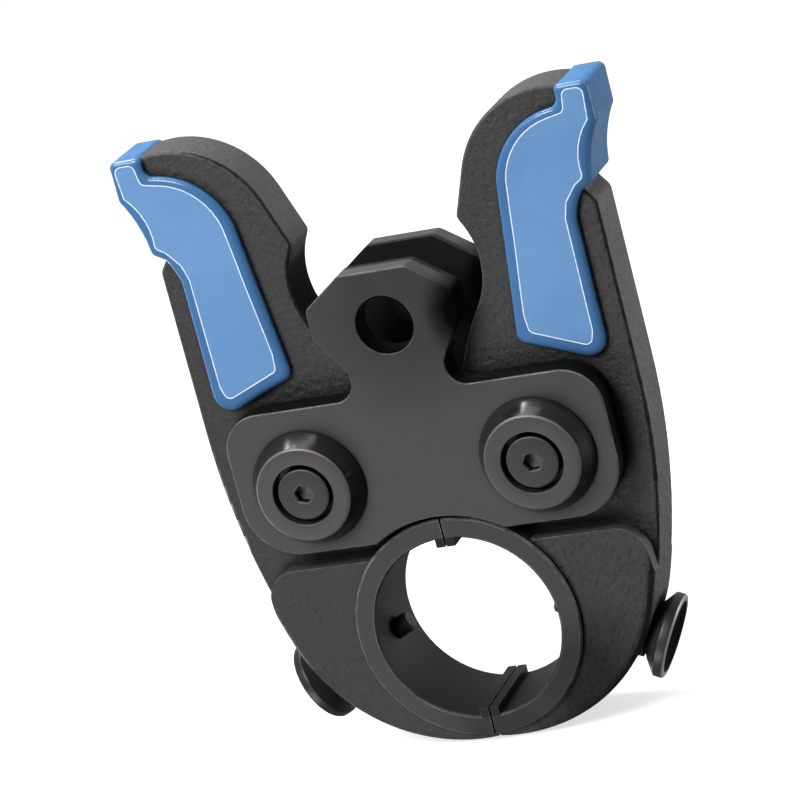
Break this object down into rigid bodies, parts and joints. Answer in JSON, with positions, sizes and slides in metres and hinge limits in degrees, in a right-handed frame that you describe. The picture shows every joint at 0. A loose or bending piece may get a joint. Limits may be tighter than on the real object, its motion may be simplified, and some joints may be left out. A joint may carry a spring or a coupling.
{
  "type": "press tool jaw",
  "caption": "Press-tool jaw: side plates, pivoting arms with roller ramps and blue grips, a split die ring and sprung locking pins with pull knobs.",
  "frame": {"origin": "centre of the bore for the tool's pin, half way through the thickness", "axes": "+X to the right seen from the front, +Y from the front to the rear along the bore, +Z from the die ring towards the tails of the arms"},
  "size_m": [0.1228, 0.041, 0.1593],
  "materials": {
    "plate_steel": "black oxide, satin",
    "arm_casting": "blackened, blasted",
    "seat_steel": "black oxide, turned",
    "cap_steel": "black oxide, turned",
    "fastener_steel": "black oxide",
    "pin_steel": "ground",
    "spring_steel": "oiled wire",
    "knob_steel": "black oxide, turned",
    "grip_blue": "moulded, satin"
  },
  "bodies": {
    "frame": {"front_side_plate": "plate_steel", "rear_side_plate": "plate_steel", "closing_spring": "spring_steel", "spring_post": "pin_steel", "left_pivot_pin": "pin_steel", "left_front_pivot_cap": "cap_steel", "left_front_cap_screw": "fastener_steel", "left_rear_pivot_cap": "cap_steel", "left_rear_cap_screw": "fastener_steel", "right_pivot_pin": "pin_steel", "right_front_pivot_cap": "cap_steel", "right_front_cap_screw": "fastener_steel", "right_rear_pivot_cap": "cap_steel", "right_rear_cap_screw": "fastener_steel"},
    "left_arm": {"left_jaw_arm": "arm_casting", "left_die_seat": "seat_steel", "left_grip_cover": "grip_blue", "left_lock_guide": "fastener_steel", "left_lock_spring": "spring_steel"},
    "left_plunger": {"left_locking_pin": "fastener_steel", "left_pull_knob": "knob_steel"},
    "right_arm": {"right_jaw_arm": "arm_casting", "right_die_seat": "seat_steel", "right_grip_cover": "grip_blue", "right_lock_guide": "fastener_steel", "right_lock_spring": "spring_steel"},
    "right_plunger": {"right_locking_pin": "fastener_steel", "right_pull_knob": "knob_steel"}
  },
  "joints": [
    {"name": "left_arm_pivot", "type": "hinge", "parent": "frame", "child": "left_arm", "pos_m": [-0.02958, 0, -0.03752], "axis": [0, 1, 0], "range_deg": [0, 15], "stiffness_Nm_per_rad": 1.2, "springref_deg": -20.05, "deforming": ["closing_spring"]},
    {"name": "left_plunger_slide", "type": "slide", "parent": "left_arm", "child": "left_plunger", "axis": [-0.9026, 0, -0.4305], "range_m": [0, 0.0046], "stiffness_N_per_m": 1500, "springref_m": -0.003, "deforming": ["left_lock_spring"]},
    {"name": "right_arm_pivot", "type": "hinge", "parent": "frame", "child": "right_arm", "pos_m": [0.02958, 0, -0.03752], "axis": [0, -1, 0], "range_deg": [0, 15], "stiffness_Nm_per_rad": 1.2, "springref_deg": -20.05, "deforming": ["closing_spring"]},
    {"name": "right_plunger_slide", "type": "slide", "parent": "right_arm", "child": "right_plunger", "axis": [0.9026, 0, -0.4305], "range_m": [0, 0.0046], "stiffness_N_per_m": 1500, "springref_m": -0.003, "deforming": ["right_lock_spring"]}
  ]
}
